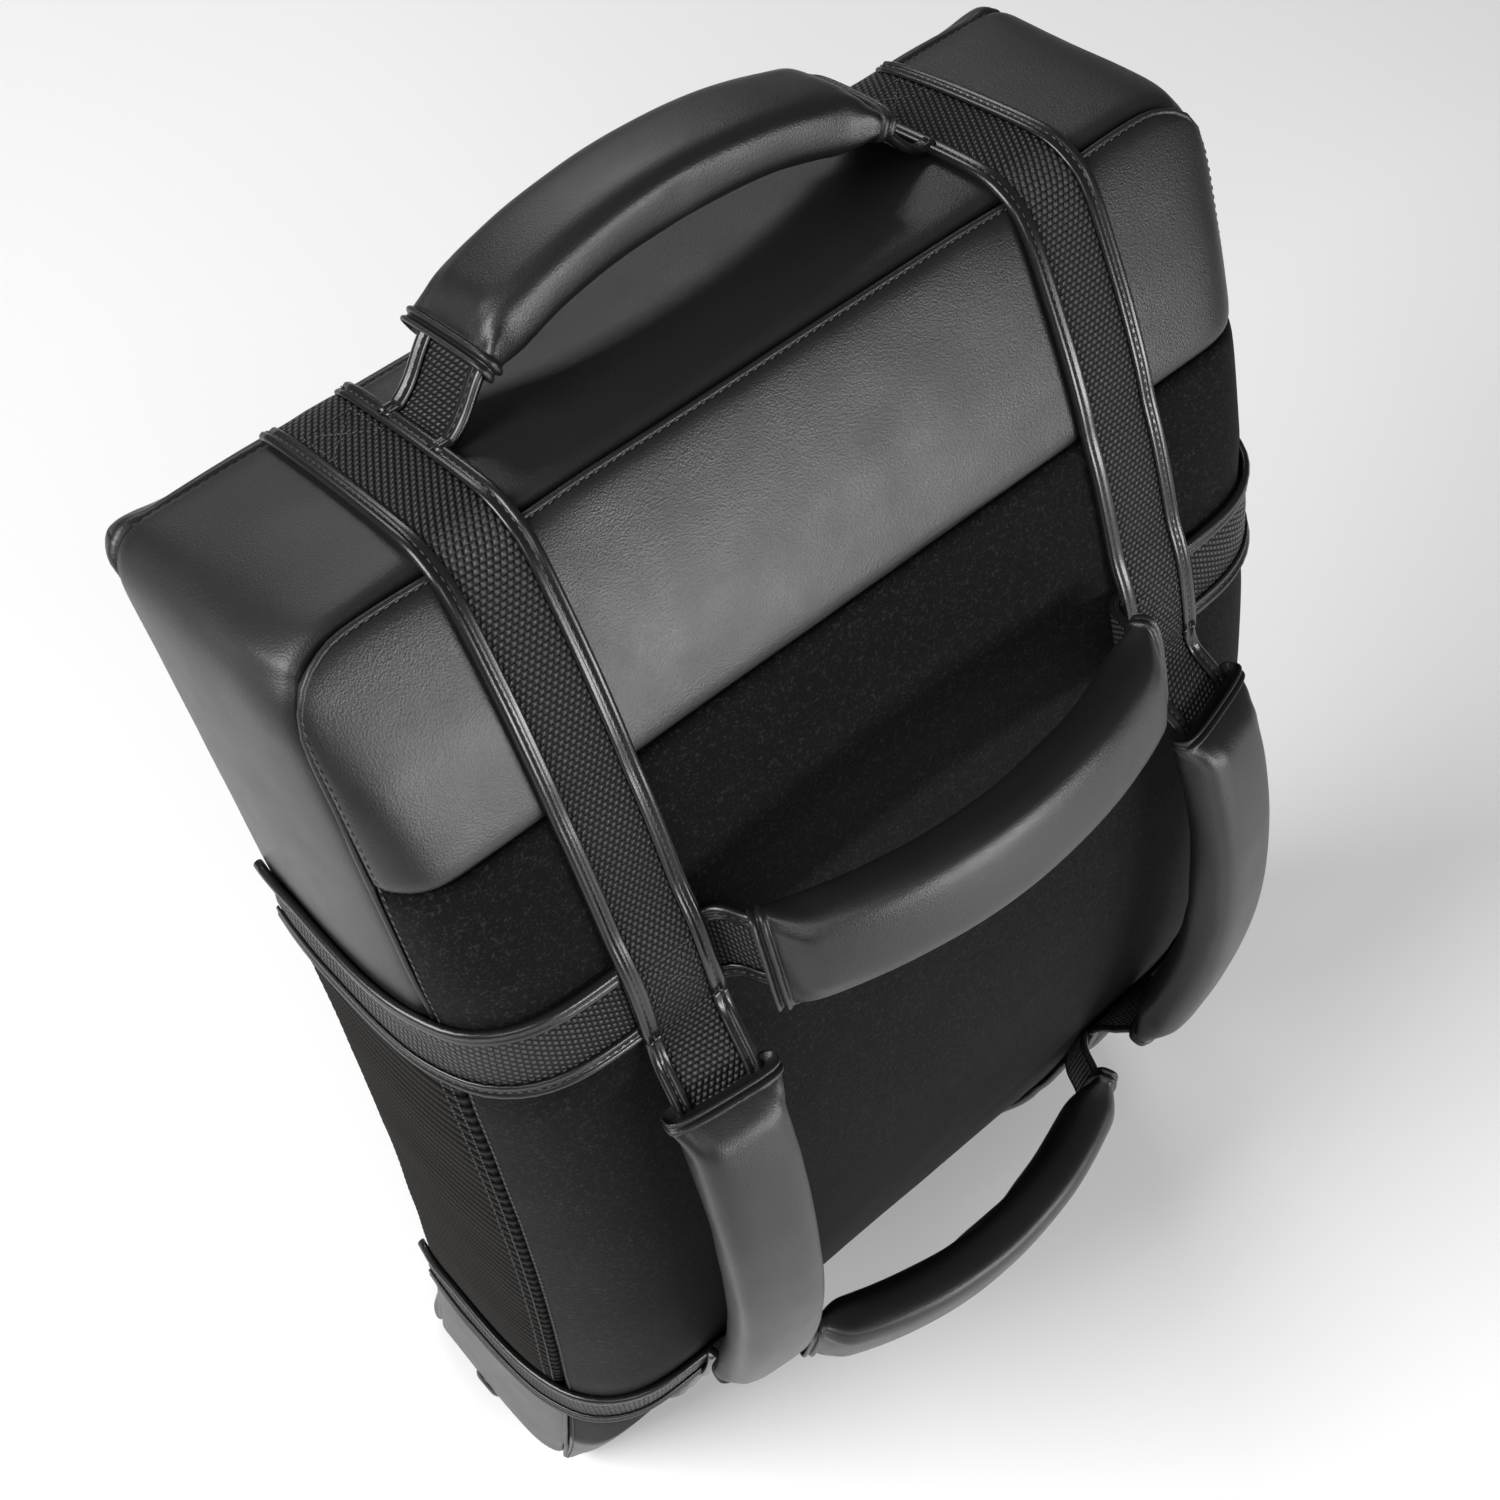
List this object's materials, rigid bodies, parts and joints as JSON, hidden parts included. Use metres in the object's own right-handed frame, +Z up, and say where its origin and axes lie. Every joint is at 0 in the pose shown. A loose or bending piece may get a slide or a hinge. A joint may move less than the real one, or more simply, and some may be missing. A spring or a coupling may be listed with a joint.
{
  "type": "kick shield",
  "caption": "Curved padded kick shield with a hollow strike face, a crowned back, a webbing harness and padded handles on its back and top.",
  "frame": {"origin": "middle of the flat bottom face, on which the shield stands", "axes": "+Z up, along the shield's length; +X across the shield to the holder's right; +Y out of the hollow strike face, with the handles on the -Y side"},
  "size_m": [0.408, 0.3066, 0.6739],
  "materials": {
    "leather": "satin fine-grained synthetic leather, black",
    "side_leather": "satin fine-grained synthetic leather, black with a greyer sheen",
    "grip_leather": "smooth satin synthetic leather, black",
    "binding_leather": "glossy folded leather tape, black",
    "neoprene": "matte jersey-faced neoprene, black",
    "vent_mesh": "ribbed open knit, black",
    "webbing": "basket-weave webbing with a slight gloss, black",
    "foam": "open-cell foam, off white",
    "firm_foam": "closed-cell foam, grey",
    "eyelet": "black enamelled eyelet, semi-gloss"
  },
  "bodies": {
    "pad": {"strike_foam": "firm_foam", "core_foam": "foam", "back_foam": "firm_foam", "strike_cover": "leather", "top_gusset": "leather", "bottom_gusset": "leather", "side_leather_upper_left": "side_leather", "side_leather_upper_right": "side_leather", "side_mesh_left": "vent_mesh", "side_mesh_right": "vent_mesh", "side_leather_lower_left": "side_leather", "side_leather_lower_right": "side_leather", "back_leather_upper": "leather", "back_neoprene": "neoprene", "back_leather_lower": "leather", "vent_eyelet_left": "eyelet", "vent_eyelet_right": "eyelet", "strap_upper_left": "webbing", "strap_upper_right": "webbing", "strap_lower_left": "webbing", "strap_lower_right": "webbing", "belt_upper_left": "webbing", "belt_upper_right": "webbing", "belt_lower_left": "webbing", "belt_lower_right": "webbing", "strap_binding_left": "binding_leather", "strap_binding_right": "binding_leather", "belt_binding_left": "binding_leather", "belt_binding_right": "binding_leather", "top_handle_roots": "webbing", "middle_handle_roots": "webbing", "lower_handle_roots": "webbing", "left_handle_roots": "webbing", "right_handle_roots": "webbing"},
    "top_handle": {"top_handle_web": "webbing", "top_grip_foam": "foam", "top_grip_cover": "grip_leather"},
    "middle_handle": {"middle_handle_web": "webbing", "middle_grip_foam": "foam", "middle_grip_cover": "grip_leather"},
    "lower_handle": {"lower_handle_web": "webbing", "lower_grip_foam": "foam", "lower_grip_cover": "grip_leather"},
    "left_handle": {"left_handle_web": "webbing", "left_grip_foam": "foam", "left_grip_cover": "grip_leather"},
    "right_handle": {"right_handle_web": "webbing", "right_grip_foam": "foam", "right_grip_cover": "grip_leather"}
  },
  "joints": [
    {"name": "top_handle_swing", "type": "hinge", "parent": "pad", "child": "top_handle", "pos_m": [0, 0.09984, 0.61799], "axis": [1, 0, 0], "range_deg": [-30, 30], "stiffness_Nm_per_rad": 2},
    {"name": "middle_handle_swing", "type": "hinge", "parent": "pad", "child": "middle_handle", "pos_m": [0, -0.04376, 0.48114], "axis": [1, 0, 0], "range_deg": [-30, 30], "stiffness_Nm_per_rad": 2},
    {"name": "lower_handle_swing", "type": "hinge", "parent": "pad", "child": "lower_handle", "pos_m": [0, -0.0932, 0.17511], "axis": [1, 0, 0], "range_deg": [-30, 30], "stiffness_Nm_per_rad": 2},
    {"name": "left_handle_swing", "type": "hinge", "parent": "pad", "child": "left_handle", "pos_m": [-0.12, -0.07338, 0.32891], "axis": [0, 0.1595, 0.9872], "range_deg": [-17, 33], "stiffness_Nm_per_rad": 2},
    {"name": "right_handle_swing", "type": "hinge", "parent": "pad", "child": "right_handle", "pos_m": [0.12, -0.07338, 0.32891], "axis": [0, 0.1595, 0.9872], "range_deg": [-40, 10], "stiffness_Nm_per_rad": 2}
  ]
}
